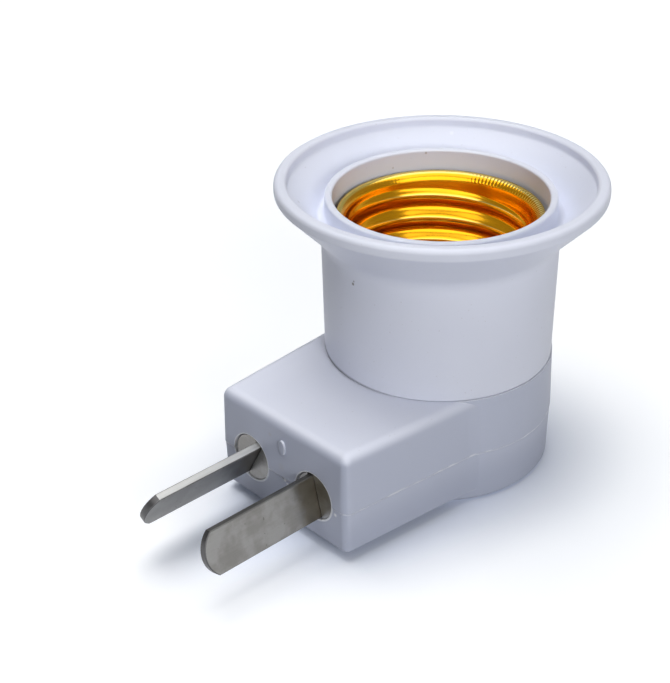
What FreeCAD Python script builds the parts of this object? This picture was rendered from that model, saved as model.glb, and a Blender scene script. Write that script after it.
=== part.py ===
"""Plug in lamp holder: an E27 screw socket with a wide brim, on a plug block with two turning blades.

Millimetres. Z is up along the socket's axis, X = Y = 0 on that axis and Z = 0 under the round foot.
The blades point along -Y, one each side of X = 0. Each sub-part is one function that returns a solid.
"""
import FreeCAD
import Part
import math
import os

# Housing: two shells that meet at the height of the blade axes
foot_height = 1.6
parting_height = 8.05
housing_top = 16.8
block_front = 30.45
flange_room = 0.35
barrel_step = 0.14
blend_step = 1.345
side_blend_radius = 8.0
blend_bite = 0.02
corner_radius = 1.3
least_corner = 0.3
top_edge_radius = 1.5
foot_edge_chamfer = 0.6
bottom_edge_chamfer = 0.3
parting_chamfer = 0.15
half_step = 0.08
draft_angle = 1.5
wall = 1.6
lip_height = 0.8
lip_gap = 0.1
pip_height = 2.2
pip_width = 1.2
pip_relief = 0.25
pip_below_top = 3.9
pip_offset = 0.3

# Cup that hangs from the housing's top and holds the socket's base
cup_room = 0.55
cup_wall = 1.25
cup_floor_top = 10.5
cup_floor = 1.5
spigot_height = 3.5
spigot_chamfer = 0.5
snap_height = 1.9
snap_relief = 0.3
snap_half_length = 0.8

# Sleeve with its brim
sleeve_wall = 1.38
mouth_gap = 0.4
sleeve_gap = 0.15
sleeve_foot_chamfer = 0.25
sleeve_draft = 0.27
brim_junction = 18.0
brim_fillet = 3.0
brim_overhang = 6.3
lip_top = 26.1
lip_depth = 1.6
lip_width = 1.75
tray_depth = 1.3
collar_top = 23.6
collar_wall = 1.05
soft_edge = 0.3
least_fillet = 1.0

# Screw shell: E27 thread, rolled in thin sheet
shell_sheet = 0.3
shell_flange_gap = 0.2
skirt_step = 0.15
thread_pitch = 3.629
thread_minor_radius = 12.2
thread_major_radius = 13.28
thread_start = 23.8
thread_end = 36.4
thread_run_out = 0.6
thread_flat = 0.85
crest_height = 34.2
crest_bearing = 137.5
rim_radius = 14.2
rim_height = 1.15
shell_top = 37.5
points_per_turn = 12
points_per_face = 12
groove_cover = 0.3

# Socket base, its contacts and rivets
carrier_gap = 0.2
carrier_height = 3.5
strap_recess = 1.3
strap_sheet = 0.5
strap_width = 4.0
strap_gap = 0.3
strap_bend_radius = 1.0
live_crossing = 9.4
leaf_sheet = 0.4
leaf_width = 4.4
leaf_rise = 2.1
leaf_anchor = 6.2
leaf_crown = 0.5
leaf_tip = 2.6
leaf_bend_radius = 1.4
rivet_radius = 0.9
rivet_head_radius = 1.5
rivet_head = 0.6
rivet_head_edge = 0.3
rivet_gap = 0.1

# Blades and their turning posts
blade_spacing = 12.7
blade_width = 6.3
blade_thickness = 1.1
blade_reach = 18.6
blade_nose = 1.55
blade_edge = 0.12
left_blade_tilt = 29.3
right_blade_tilt = -14.4
largest_tilt = 30.0
slot_gap = 0.1
slot_depth = 8.2
post_radius = 3.35
post_recess = 0.3
post_running_gap = 0.08
upper_hole_extra = 0.12
post_flange_radius = 4.4
post_flange = 1.4
post_length = 9.55
tail_radius = 1.8
tail_length = 3.9
stop_lug_reach = 0.8
stop_lug_half_angle = 12.0
stop_play = 1.0
stop_rib = 1.2
end_play = 0.3
washer_sheet = 0.25
washer_height = 0.55
washer_gap = 0.05
washer_inner_gap = 0.1
bearing_rib = 1.5
strap_play = 0.1
strap_eye_radius = 2.6

# Screws
carrier_screw_radius = 1.05
carrier_screw_head_radius = 2.3
carrier_screw_head = 1.3
carrier_screw_length = 7.6
carrier_screw_place = (5.3, 2.6)
housing_screw_radius = 1.2
housing_screw_head_radius = 2.3
housing_screw_head = 1.5
front_screw_place = -22.0
rear_screw_inset = 5.45
front_screw_length = 9.0
rear_screw_length = 7.0
head_gap = 0.3
thread_gap = 0.05
shank_gap = 0.25
boss_wall = 1.5
screw_point = 1.2
screw_tip_radius = 0.25
screw_head_edge = 0.8
driver_slot_width = 0.6
driver_slot_depth = 0.8
driver_slot_share = 0.65

# Worked out from the sizes above
slope = math.tan(math.radians(draft_angle))
shell_skirt_radius = thread_minor_radius - skirt_step
cup_bore_radius = shell_skirt_radius + shell_sheet + cup_room
mouth_radius = rim_radius + shell_sheet + mouth_gap
sleeve_radius = mouth_radius + sleeve_wall
lip_radius = sleeve_radius + sleeve_draft + brim_overhang
barrel_radius = sleeve_radius + barrel_step + slope * (housing_top - parting_height)
block_width = blade_spacing + 2 * (post_flange_radius + flange_room + wall)
front_corner = math.hypot(block_width / 2, block_front)
side_flare = math.atan2(2 * block_front, block_width) - math.acos((barrel_radius - blend_step) / front_corner)
post_x = blade_spacing / 2
front_face = -block_front
post_front = front_face + post_recess
flange_front = front_face + wall + end_play
flange_back = flange_front + post_flange
thrust_rib_front = flange_back + washer_height + 2 * washer_gap
shank_back = post_front + post_length
tail_rib_front = shank_back + strap_play + bearing_rib
tail_back = shank_back + tail_length
roof = housing_top - wall
block_floor = foot_height + wall
barrel_inner_radius = barrel_radius - wall
rear_screw_place = barrel_inner_radius - rear_screw_inset
cup_outer_radius = cup_bore_radius + cup_wall
cup_underside = cup_floor_top - cup_floor
carrier_top = cup_floor_top + carrier_height
carrier_radius = cup_bore_radius - carrier_gap
strap_top = cup_floor_top + strap_recess
strap_bottom = strap_top - strap_sheet
leaf_top = carrier_top + leaf_sheet
flange_top = carrier_top + shell_sheet
spigot_radius = mouth_radius - sleeve_gap
front_screw_seat = foot_height + housing_screw_head + head_gap
rear_screw_seat = housing_screw_head + 3 * head_gap
rear_boss_split = parting_height - 2 * wall
shell_flange_radius = math.hypot(*carrier_screw_place) + carrier_screw_head_radius + shell_flange_gap
shell_rivet_circle = (shell_flange_radius + shell_skirt_radius) / 2
shell_rivet_y = math.sqrt(shell_rivet_circle ** 2 - post_x ** 2)
BLADES = {"left": (-post_x, left_blade_tilt, 1), "right": (post_x, right_blade_tilt, -1)}

far = 3 * block_front
UP = FreeCAD.Vector(0, 0, 1)
SIDE = FreeCAD.Vector(1, 0, 0)
BACK = FreeCAD.Vector(0, 1, 0)


def vec(x, y, z):
    return FreeCAD.Vector(x, y, z)


def cylinder(radius, bottom, top, x=0.0, y=0.0):
    return Part.makeCylinder(radius, top - bottom, vec(x, y, bottom), UP)


def cylinder_along_y(radius, front, back, x, z=parting_height):
    return Part.makeCylinder(radius, back - front, vec(x, front, z), BACK)


def box(low, high):
    return Part.makeBox(high[0] - low[0], high[1] - low[1], high[2] - low[2], vec(*low))


def fused(shapes):
    return shapes[0].multiFuse(shapes[1:]).removeSplitter()


def on_section(u, v):
    """Places a point of a section through the socket's axis: u outwards, v up."""
    return vec(u, 0, v)


def rounded_outline(corners, place):
    """A closed wire through corners (u, v, radius), with an arc at each corner that has a radius."""
    flat = [vec(u, v, 0) for u, v, _ in corners]
    edges = []
    stops = []
    for index, (_, _, radius) in enumerate(corners):
        here = flat[index]
        if radius == 0:
            stops.append((here, None, here))
            continue
        back = (flat[index - 1] - here).normalize()
        ahead = (flat[(index + 1) % len(flat)] - here).normalize()
        half_turn = back.getAngle(ahead) / 2
        run = radius / math.tan(half_turn)
        bisector = (back + ahead).normalize()
        middle = here + bisector * (radius / math.sin(half_turn) - radius)
        stops.append((here + back * run, middle, here + ahead * run))
    for index in range(len(stops)):
        start, middle, end = stops[index]
        if middle is not None:
            edges.append(Part.Arc(*[place(p.x, p.y) for p in (start, middle, end)]).toShape())
        following = stops[(index + 1) % len(stops)][0]
        if end.distanceToPoint(following) > 1e-6:
            edges.append(Part.makeLine(place(end.x, end.y), place(following.x, following.y)))
    return Part.Wire(edges)


def turned(corners):
    """A solid turned round the socket's axis from section corners (radius, height, edge size).

    An edge gets a fillet of its size, and a straight cut where the size is under the least fillet.
    """
    section = []
    for index, (u, v, size) in enumerate(corners):
        if size == 0 or size >= least_fillet:
            section.append((u, v, size))
            continue
        here = vec(u, v, 0)
        for other in (corners[index - 1], corners[(index + 1) % len(corners)]):
            cut = here + (vec(other[0], other[1], 0) - here).normalize() * size
            section.append((cut.x, cut.y, 0))
    face = Part.Face(rounded_outline(section, on_section))
    return face.revolve(vec(0, 0, 0), UP, 360)


def offset_path(path, distance):
    """The corners of a path (u, v, bend radius), moved to its left, with bends that keep their centres."""
    points = [vec(u, v, 0) for u, v, _ in path]
    runs = [(b - a).normalize() for a, b in zip(points, points[1:])]
    moved = []
    for index, (_, _, radius) in enumerate(path):
        before = runs[max(index - 1, 0)]
        after = runs[min(index, len(runs) - 1)]
        normals = [vec(-run.y, run.x, 0) for run in (before, after)]
        mitre = (normals[0] + normals[1]) * (distance / (1 + normals[0].dot(normals[1])))
        turn = before.x * after.y - before.y * after.x
        bend = radius - math.copysign(distance, turn) if radius else 0
        corner = points[index] + mitre
        moved.append((corner.x, corner.y, bend))
    return moved


def bent_strip(path, sheet, width, x):
    """A strip of sheet metal, centred on x, whose middle line follows corners (y, z, bend radius)."""
    left = offset_path(path, sheet / 2)
    right = offset_path(path, -sheet / 2)
    outline = rounded_outline(left + right[::-1], lambda y, z: vec(x - width / 2, y, z))
    return Part.Face(outline).extrude(SIDE * width)


def block_outline(inset, height):
    """Plan of the block: its front, two flared sides and a hollow blend on to the round barrel."""
    normal = vec(math.cos(side_flare), -math.sin(side_flare), 0)
    along = vec(math.sin(side_flare), math.cos(side_flare), 0)
    wall_offset = barrel_radius - blend_step - inset
    rear = barrel_radius - inset - blend_bite
    blend = side_blend_radius + inset
    reach = wall_offset + blend
    blend_centre = normal * reach - along * math.sqrt((rear + blend) ** 2 - reach ** 2)
    towards_axis = (blend_centre * -1).normalize()
    corner = max(corner_radius - inset, least_corner)
    front = front_face + inset
    corner_along = (front + corner + math.sin(side_flare) * (wall_offset - corner)) / math.cos(side_flare)
    corner_centre = normal * (wall_offset - corner) + along * corner_along
    right = [
        corner_centre - BACK * corner,
        corner_centre + (normal - BACK).normalize() * corner,
        corner_centre + normal * corner,
        blend_centre - normal * blend,
        blend_centre + (towards_axis - normal).normalize() * blend,
        blend_centre + towards_axis * blend,
    ]
    right = [point + UP * height for point in right]
    left = [vec(-point.x, point.y, point.z) for point in right]
    edges = [Part.makeLine(left[0], right[0])]
    edges += [Part.Arc(*right[0:3]).toShape(), Part.makeLine(right[2], right[3])]
    edges += [Part.Arc(*right[3:6]).toShape(), Part.makeLine(right[5], left[5])]
    edges += [Part.Arc(*left[5:2:-1]).toShape(), Part.makeLine(left[3], left[2])]
    edges += [Part.Arc(*left[2::-1]).toShape()]
    return Part.Wire(edges)


def block(inset, low, high, rises=True):
    """The block between two heights. Its walls lean in by the draft, away from the parting plane."""
    lean = slope * (high - low)
    inset_low, inset_high = (inset, inset + lean) if rises else (inset + lean, inset)
    wires = [block_outline(inset_low, low), block_outline(inset_high, high)]
    return Part.makeLoft(wires, True, True)


def edges_at(shape, height, keep=lambda edge: True):
    flat = [e for e in shape.Edges if all(abs(v.Z - height) < 1e-4 for v in e.Vertexes)]
    return [e for e in flat if keep(e)]


def not_closing_line(edge):
    """Tells the block's outer edges from the line that closes it inside the barrel."""
    ends = [abs(v.Y - edge.Vertexes[0].Y) < 1e-6 for v in edge.Vertexes]
    return not (all(ends) and edge.Vertexes[0].Y > front_face / 2)


def post_seats(extra):
    """Room for both posts: their holes, the chamber for their flanges, and their tails."""
    rooms = []
    for x, _, _ in BLADES.values():
        rooms.append(cylinder_along_y(post_radius + extra, front_face - wall, tail_rib_front, x))
        tail_room = tail_radius + post_running_gap
        rooms.append(cylinder_along_y(tail_room, shank_back - wall, tail_back + wall, x))
        chamber_front = flange_front - end_play
        rooms.append(cylinder_along_y(post_flange_radius + strap_gap, chamber_front, thrust_rib_front, x))
    return rooms


def bearing_ribs(space):
    """Cross walls that carry the posts behind their flanges and at their tails, cut to a space."""
    ribs = []
    for front in (thrust_rib_front, tail_rib_front - bearing_rib + strap_play):
        slab = box((-block_width, front, 0), (block_width, front + bearing_rib, housing_top))
        ribs.append(slab.common(space))
    return ribs


def locating_lip(inner, depth, height_low, height_high):
    """A band of the block's and barrel's wall, between two insets and two heights."""
    bands = []
    for inset in (inner, depth):
        rear = cylinder(barrel_radius - inset, height_low, height_high)
        outline = Part.Face(block_outline(inset, height_low)).extrude(UP * (height_high - height_low))
        bands.append(outline.fuse(rear))
    band = bands[0].cut(bands[1])
    for x, _, _ in BLADES.values():
        band = band.cut(cylinder_along_y(post_flange_radius, front_face - wall, thrust_rib_front, x))
    return band


def stop_ribs(side):
    """Two ribs under the roof that stop a post's lug at either end of its turn."""
    x, _, inwards = BLADES[side]
    ribs = []
    play = stop_lug_half_angle + stop_play
    inner = post_flange_radius + post_running_gap + strap_gap
    for angle, outer_side in ((-play, -1), (largest_tilt + play, 1)):
        start = 0 if outer_side > 0 else -stop_rib
        rib = box((start, flange_front, inner), (start + stop_rib, flange_back, housing_top))
        rib.rotate(vec(0, 0, 0), BACK, angle)
        if inwards < 0:
            rib = rib.mirror(vec(0, 0, 0), SIDE)
        rib.translate(vec(x, 0, parting_height))
        ribs.append(rib.common(box((-block_width, front_face, parting_height), (block_width, 0, roof))))
    return ribs


def pip():
    """Small oval relief on the front face, between the blades and near the top."""
    height = housing_top - pip_below_top
    centre = vec(pip_offset, front_face + wall / 2, height)
    oval = Part.Ellipse(centre, pip_height / 2, pip_width / 2)
    oval.Axis = BACK * -1
    oval.XAxis = UP
    face = Part.Face(Part.Wire(oval.toShape()))
    return face.extrude(BACK * (slope * (height - parting_height) - wall / 2 - pip_relief))


def upper_housing():
    shell = block(0, parting_height, housing_top)
    top_edges = edges_at(shell, housing_top, not_closing_line)
    shell = shell.makeFillet(top_edge_radius, top_edges)
    rise = housing_top - parting_height
    barrel = Part.makeCone(barrel_radius, barrel_radius - slope * rise, rise, UP * parting_height, UP)
    spigot_top = housing_top + spigot_height
    spigot = turned([
        (cup_bore_radius - wall, housing_top - wall / 2, 0),
        (spigot_radius, housing_top - wall / 2, 0),
        (spigot_radius, housing_top + snap_height - snap_half_length, 0),
        (spigot_radius + snap_relief, housing_top + snap_height, 0),
        (spigot_radius, housing_top + snap_height + snap_half_length, 0),
        (spigot_radius, spigot_top, spigot_chamfer),
        (cup_bore_radius - wall, spigot_top, 0),
    ])
    inside = block(wall, parting_height - wall, roof)
    hollow = fused([inside, cylinder(barrel_inner_radius, parting_height - wall, roof)])
    body = fused([shell, barrel, spigot]).cut(hollow)
    additions = [cylinder(cup_outer_radius, cup_underside, housing_top - wall / 2)]
    additions += bearing_ribs(inside.common(box((-far, -far, parting_height), (far, far, far))))
    additions += stop_ribs("left") + stop_ribs("right")
    additions += upper_bosses()
    additions += [locating_lip(wall / 2 + lip_gap, wall, parting_height - lip_height, parting_height)]
    body = fused([body] + additions + [pip()])
    removed = [cylinder(cup_bore_radius, cup_floor_top, spigot_top + wall)]
    removed += post_seats(post_running_gap + upper_hole_extra)
    removed += strap_windows() + pilot_holes()
    return body.cut(Part.makeCompound(removed)).removeSplitter()


def upper_bosses():
    """Round bosses that the screws bite into."""
    pilot = housing_screw_radius + thread_gap
    bosses = [cylinder(pilot + boss_wall, parting_height, roof + wall / 2, 0, front_screw_place)]
    bosses.append(cylinder(pilot + boss_wall, rear_boss_split, cup_floor_top, 0, rear_screw_place))
    for sign in (1, -1):
        x, y = (sign * value for value in carrier_screw_place)
        radius = carrier_screw_radius + thread_gap + boss_wall
        bosses.append(cylinder(radius, carrier_top - carrier_screw_length - wall / 2, cup_floor_top, x, y))
    return bosses


def pilot_holes():
    pilot = housing_screw_radius + thread_gap
    front_end = front_screw_seat + front_screw_length + head_gap
    rear_end = rear_screw_seat + rear_screw_length + head_gap
    holes = [cylinder(pilot, parting_height, front_end, 0, front_screw_place)]
    holes.append(cylinder(pilot, rear_boss_split, rear_end, 0, rear_screw_place))
    for sign in (1, -1):
        x, y = (sign * value for value in carrier_screw_place)
        hole_bottom = carrier_top - carrier_screw_length - head_gap
        holes.append(cylinder(carrier_screw_radius + thread_gap, hole_bottom, carrier_top, x, y))
    return holes


def strap_windows():
    """Openings in the cup's wall where the two straps come through."""
    windows = []
    half = strap_width / 2 + strap_gap
    for x, _, _ in BLADES.values():
        low = (x - half, -barrel_inner_radius, cup_floor_top)
        windows.append(box(low, (x + half, -cup_bore_radius / 2, strap_top + strap_gap)))
    return windows


def lower_housing():
    shell = block(half_step, foot_height, parting_height, rises=False)
    shell = shell.makeChamfer(bottom_edge_chamfer, edges_at(shell, foot_height, not_closing_line))
    shell = shell.makeChamfer(parting_chamfer, edges_at(shell, parting_height, not_closing_line))
    top_radius = barrel_radius - half_step
    foot_radius = top_radius - slope * parting_height
    barrel = turned([
        (0, 0, 0),
        (foot_radius, 0, foot_edge_chamfer),
        (top_radius, parting_height - parting_chamfer, 0),
        (top_radius - parting_chamfer, parting_height, 0),
        (0, parting_height, 0),
    ])
    inside = block(wall, block_floor, parting_height + wall, rises=False)
    barrel_room = cylinder(barrel_inner_radius, wall, parting_height + wall)
    body = fused([shell, barrel]).cut(fused([inside, barrel_room]))
    body = body.cut(locating_lip(wall / 2, wall, parting_height - lip_height - lip_gap, parting_height))
    under_parting = box((-far, -far, block_floor - wall / 2), (far, far, parting_height))
    additions = bearing_ribs(inside.fuse(inside.translated(UP * -wall / 2)).common(under_parting))
    additions += lower_bosses()
    body = fused([body] + additions)
    removed = post_seats(post_running_gap) + screw_wells()
    return body.cut(Part.makeCompound(removed)).removeSplitter()


def lower_bosses():
    well = housing_screw_head_radius + head_gap
    narrow = housing_screw_radius + shank_gap + boss_wall - thread_gap
    bosses = [cylinder(well + boss_wall / 2, foot_height, front_screw_seat + wall, 0, front_screw_place)]
    bosses.append(cylinder(narrow, foot_height, parting_height, 0, front_screw_place))
    bosses.append(cylinder(well + boss_wall, 0, rear_boss_split, 0, rear_screw_place))
    return bosses


def screw_wells():
    """Counterbores under the block and the foot, and the clearance holes above them."""
    well = housing_screw_head_radius + head_gap
    clear = housing_screw_radius + shank_gap
    wells = [cylinder(well, -wall, front_screw_seat, 0, front_screw_place)]
    wells.append(cylinder(clear, 0, parting_height + wall, 0, front_screw_place))
    wells.append(cylinder(well, -wall, rear_screw_seat, 0, rear_screw_place))
    wells.append(cylinder(clear, 0, parting_height + wall, 0, rear_screw_place))
    return wells


def sleeve():
    """One moulding: the tube, the dished brim with its raised lip, the tray and the collar."""
    base = housing_top
    under = (lip_top - lip_depth - brim_junction) / (lip_radius - sleeve_radius - sleeve_draft)
    floor_rise = under * (lip_radius - lip_width - mouth_radius - collar_wall)
    tray_edge = base + lip_top - tray_depth
    tray_corner = tray_edge - floor_rise
    body = turned([
        (mouth_radius, base, 0),
        (sleeve_radius - sleeve_foot_chamfer, base, 0),
        (sleeve_radius, base + sleeve_foot_chamfer, 0),
        (sleeve_radius + sleeve_draft, base + brim_junction, brim_fillet),
        (lip_radius, base + lip_top - lip_depth, soft_edge),
        (lip_radius, base + lip_top, 2 * soft_edge),
        (lip_radius - lip_width, base + lip_top, soft_edge),
        (lip_radius - lip_width, tray_edge, soft_edge),
        (mouth_radius + collar_wall, tray_corner, 2 * soft_edge),
        (mouth_radius + collar_wall, base + collar_top, soft_edge),
        (mouth_radius, base + collar_top, soft_edge),
    ])
    return body.cut(snap_groove())


def snap_groove():
    middle = housing_top + snap_height
    reach = snap_half_length + sleeve_gap
    return turned([
        (mouth_radius - wall, middle - reach, 0),
        (mouth_radius, middle - reach, 0),
        (spigot_radius + snap_relief + sleeve_gap, middle, 0),
        (mouth_radius, middle + reach, 0),
        (mouth_radius - wall, middle + reach, 0),
    ])


def shell_plug(offset):
    """The shell's outside when the sheet's thickness is given, and the room inside it when 0 is."""
    body = shell_skirt_radius + offset
    top = thread_major_radius + offset
    over = shell_sheet - offset
    flare = (rim_radius - thread_major_radius) / rim_height
    return turned([
        (0, carrier_top + over, 0),
        (body, carrier_top + over, 0),
        (body, thread_start, 0),
        (top, thread_start + top - body, 0),
        (top, shell_top - rim_height, 0),
        (rim_radius + offset + flare * over, shell_top + over, 0),
        (0, shell_top + over, 0),
    ])


def thread_groove(offset):
    """Helical bar that presses the thread into a plug. Its last part turn climbs out of the wall."""
    depth = thread_major_radius - thread_minor_radius
    flank = thread_pitch / 2 - thread_flat
    narrowing = offset * (math.hypot(depth, flank) - flank) / depth
    half_root = thread_flat / 2 - narrowing
    climb = depth + groove_cover
    half_mouth = half_root + flank * climb / depth
    corners = [(-half_root, 0), (half_root, 0), (half_mouth, climb), (-half_mouth, climb)]
    first = (thread_start - crest_height) / thread_pitch - 0.5
    last = (thread_end - crest_height) / thread_pitch
    steps = round((last - first) * points_per_turn)
    helices = []
    for rise, reach in corners:
        points = []
        for step in range(steps + 1):
            turns = first + (last - first) * step / steps
            angle = 2 * math.pi * turns + math.radians(crest_bearing)
            lift = (climb - groove_cover / 2) * smooth_step(last - thread_run_out, last, turns)
            radius = thread_minor_radius + offset + reach + lift
            height = crest_height + thread_pitch * turns + rise
            points.append(vec(radius * math.cos(angle), radius * math.sin(angle), height))
        helix = Part.BSplineCurve()
        helix.interpolate(points, Parameters=[float(step) for step in range(steps + 1)])
        helices.append(helix)
    faces = []
    spans = round(steps / points_per_face)
    for span in range(spans):
        pieces = [helix.toShape(steps * span / spans, steps * (span + 1) / spans) for helix in helices]
        for index, piece in enumerate(pieces):
            faces.append(Part.makeRuledSurface(piece, pieces[(index + 1) % len(pieces)]))
    for end in (0, steps):
        ring = [helix.value(end) for helix in helices]
        faces.append(Part.Face(Part.makePolygon(ring + ring[:1])))
    skin = Part.makeCompound(faces)
    skin.sewShape(0.001)
    bar = Part.makeSolid(skin.Shells[0])
    if bar.Volume < 0:
        bar.reverse()
    return bar


def smooth_step(low, high, value):
    share = min(max((value - low) / (high - low), 0.0), 1.0)
    return share * share * (3 - 2 * share)


def screw_shell():
    """Thin brass shell: a rolled E27 thread between a flat flange below and a flared rim above."""
    outside, inside = (shell_plug(offset).cut(thread_groove(offset)) for offset in (shell_sheet, 0))
    body = outside.cut(inside)
    body = body.cut(cylinder(shell_flange_radius, carrier_top, flange_top))
    for x, y in rivet_places():
        body = body.cut(cylinder(rivet_radius + rivet_gap, carrier_top, flange_top, x, y))
    return body


def rivet_places():
    """The shell's two rivets: beside the right post's strap, and opposite."""
    return [(-post_x, shell_rivet_y), (post_x, -shell_rivet_y)]


def contact_carrier():
    body = cylinder(carrier_radius, cup_floor_top, carrier_top)
    removed = [flat_run(*run, strap_width + 2 * strap_gap, cup_floor_top, strap_top) for run in all_runs()]
    x, y = rivet_places()[0]
    removed.append(cylinder(rivet_head_radius + strap_gap, cup_floor_top, strap_top, x, y))
    for x, y in rivet_places() + [(0, leaf_anchor)]:
        removed.append(cylinder(rivet_radius + rivet_gap, cup_floor_top, carrier_top, x, y))
    for sign in (1, -1):
        x, y = (sign * value for value in carrier_screw_place)
        removed.append(cylinder(carrier_screw_radius + shank_gap, cup_floor_top, carrier_top, x, y))
    return body.cut(Part.makeCompound(removed))


def flat_run(start, end, width, low, high):
    """A flat bar between two places that share an X or a Y, half a width longer at both ends."""
    half = width / 2
    corners = [[min(start[i], end[i]) - half, max(start[i], end[i]) + half] for i in (0, 1)]
    return box((corners[0][0], corners[1][0], low), (corners[0][1], corners[1][1], high))


def live_runs():
    """Flat way of the live strap: from the centre rivet, under the lamp's tip, to the left post."""
    crossing = -live_crossing
    front = -cup_bore_radius
    return [((0, leaf_anchor), (0, crossing)), ((0, crossing), (-post_x, crossing)),
            ((-post_x, crossing), (-post_x, front))]


def neutral_runs():
    return [((post_x, -shell_rivet_y), (post_x, -cup_bore_radius))]


def all_runs():
    return live_runs() + neutral_runs()


def strap(runs, x, rivet_place):
    """A contact strap: flat under the socket base, bent down behind the tail rib, with an eye."""
    flat = [flat_run(*run, strap_width, strap_bottom, strap_top) for run in runs]
    middle = (strap_top + strap_bottom) / 2
    eye_y = tail_rib_front + strap_play + strap_sheet / 2
    path = [(-cup_bore_radius, middle, 0), (eye_y, middle, strap_bend_radius),
            (eye_y, parting_height, 0)]
    bend = bent_strip(path, strap_sheet, strap_width, x)
    back = eye_y + strap_sheet / 2
    eye = cylinder_along_y(strap_eye_radius, back - strap_sheet, back, x)
    body = fused(flat + [bend, eye])
    hole = cylinder_along_y(tail_radius + post_running_gap, back - wall, back + wall, x)
    rivet_hole = cylinder(rivet_radius + rivet_gap, strap_bottom, strap_top, *rivet_place)
    return body.cut(hole).cut(rivet_hole)


def centre_contact():
    """Leaf spring under the lamp's tip, riveted at one end and curled at the other."""
    middle = carrier_top + leaf_sheet / 2
    path = [
        (leaf_anchor + rivet_head_radius + strap_gap, middle, 0),
        (leaf_anchor - rivet_head_radius - strap_gap, middle, leaf_bend_radius),
        (-leaf_crown, middle + leaf_rise, leaf_bend_radius),
        (-leaf_tip, middle + leaf_rise / 2, 0),
    ]
    body = bent_strip(path, leaf_sheet, leaf_width, 0)
    return body.cut(cylinder(rivet_radius + rivet_gap, carrier_top, leaf_top, 0, leaf_anchor))


def rivet(x, y, seat, clinch):
    """A rivet with its set head on the seat and its clinched head under the given height."""
    head = turned([
        (0, seat, 0),
        (rivet_head_radius, seat, 0),
        (rivet_head_radius, seat + rivet_head, rivet_head_edge),
        (0, seat + rivet_head, 0),
    ])
    shank = cylinder(rivet_radius, clinch, seat)
    tail = turned([
        (0, clinch - rivet_head, 0),
        (rivet_head_radius, clinch - rivet_head, rivet_head_edge),
        (rivet_head_radius, clinch, 0),
        (0, clinch, 0),
    ])
    return fused([head, shank, tail]).translated(vec(x, y, 0))


def post(side):
    """Round post that carries a blade: slotted in front, with a flange, a stop lug and a tail."""
    x, tilt, _ = BLADES[side]
    axis = vec(x, 0, parting_height)
    body = fused([
        cylinder_along_y(post_radius, post_front, shank_back, x),
        cylinder_along_y(post_flange_radius, flange_front, flange_back, x),
        cylinder_along_y(tail_radius, shank_back - wall, tail_back, x),
        stop_lug(x),
    ])
    half = blade_thickness / 2 + slot_gap
    closed = blade_width / 2 + slot_gap
    slot_back = front_face + slot_depth
    cuts = [box((x - half, post_front - wall, parting_height - closed),
                (x + half, slot_back, parting_height + closed))]
    for front, back in ((post_front - wall, flange_front), (flange_back, slot_back)):
        cuts.append(box((x - half, front, 0), (x + half, back, housing_top)))
    body = body.cut(Part.makeCompound(cuts))
    body.rotate(axis, BACK, tilt)
    return body


def stop_lug(x):
    """A tooth on the flange's rim, above the blade's upper edge."""
    outer = post_flange_radius + stop_lug_reach
    lug = Part.makeCylinder(outer, post_flange, vec(0, 0, 0), UP, 2 * stop_lug_half_angle)
    lug.rotate(vec(0, 0, 0), UP, 90 - stop_lug_half_angle)
    lug = lug.cut(cylinder(post_radius, 0, post_flange))
    lug.rotate(vec(0, 0, 0), SIDE, 90)
    return lug.translated(vec(x, flange_back, parting_height))


def blade(side):
    """Flat blade with a rounded nose, set in its post at the blade's own tilt."""
    x, tilt, _ = BLADES[side]
    half = blade_width / 2
    tip = front_face - blade_reach
    shoulder = tip + blade_nose
    root = front_face + slot_depth - slot_gap
    left_side = x - blade_thickness / 2
    places = [(root, -half), (shoulder, -half), (tip, 0), (shoulder, half), (root, half)]
    low_root, low_shoulder, nose, high_shoulder, high_root = [
        vec(left_side, y, parting_height + z) for y, z in places
    ]
    edges = [Part.makeLine(low_root, low_shoulder)]
    edges.append(Part.Arc(low_shoulder, nose, high_shoulder).toShape())
    edges.append(Part.makeLine(high_shoulder, high_root))
    edges.append(Part.makeLine(high_root, low_root))
    body = Part.Face(Part.Wire(edges)).extrude(SIDE * blade_thickness)
    rims = [e for e in body.Edges if abs(e.Vertexes[0].X - e.Vertexes[-1].X) < 1e-6]
    body = body.makeChamfer(blade_edge, [e for e in rims if min(v.Y for v in e.Vertexes) < root - wall])
    body.rotate(vec(x, 0, parting_height), BACK, tilt)
    return body


def washer(side):
    """Coned spring washer between a post's flange and the thrust rib."""
    x, _, _ = BLADES[side]
    inner = post_radius + washer_inner_gap
    outer = post_flange_radius
    front = flange_back + washer_gap
    rise = washer_height - washer_sheet
    corners = [
        (inner, front, 0), (inner, front + washer_sheet, 0),
        (outer, front + rise + washer_sheet, 0), (outer, front + rise, 0),
    ]
    section = rounded_outline(corners, lambda radius, y: vec(x + radius, y, parting_height))
    return Part.Face(section).revolve(vec(x, 0, parting_height), BACK, 360)


def screw(radius, head_radius, head, length):
    """A pan head screw that points up, with its head's seat at height 0 and a cross recess below."""
    top = turned([(0, -head, 0), (head_radius, -head, screw_head_edge), (head_radius, 0, 0), (0, 0, 0)])
    shank = turned([
        (0, 0, 0), (radius, 0, 0), (radius, length - screw_point, 0),
        (screw_tip_radius, length, 0), (0, length, 0),
    ])
    body = fused([top, shank])
    reach = head_radius * driver_slot_share
    half = driver_slot_width / 2
    for size in ((reach, half), (half, reach)):
        body = body.cut(box((-size[0], -size[1], -head), (size[0], size[1], driver_slot_depth - head)))
    return body


def carrier_screw(sign):
    x, y = (sign * value for value in carrier_screw_place)
    body = screw(carrier_screw_radius, carrier_screw_head_radius, carrier_screw_head, carrier_screw_length)
    body.rotate(vec(0, 0, 0), SIDE, 180)
    return body.translated(vec(x, y, carrier_top))


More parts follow.
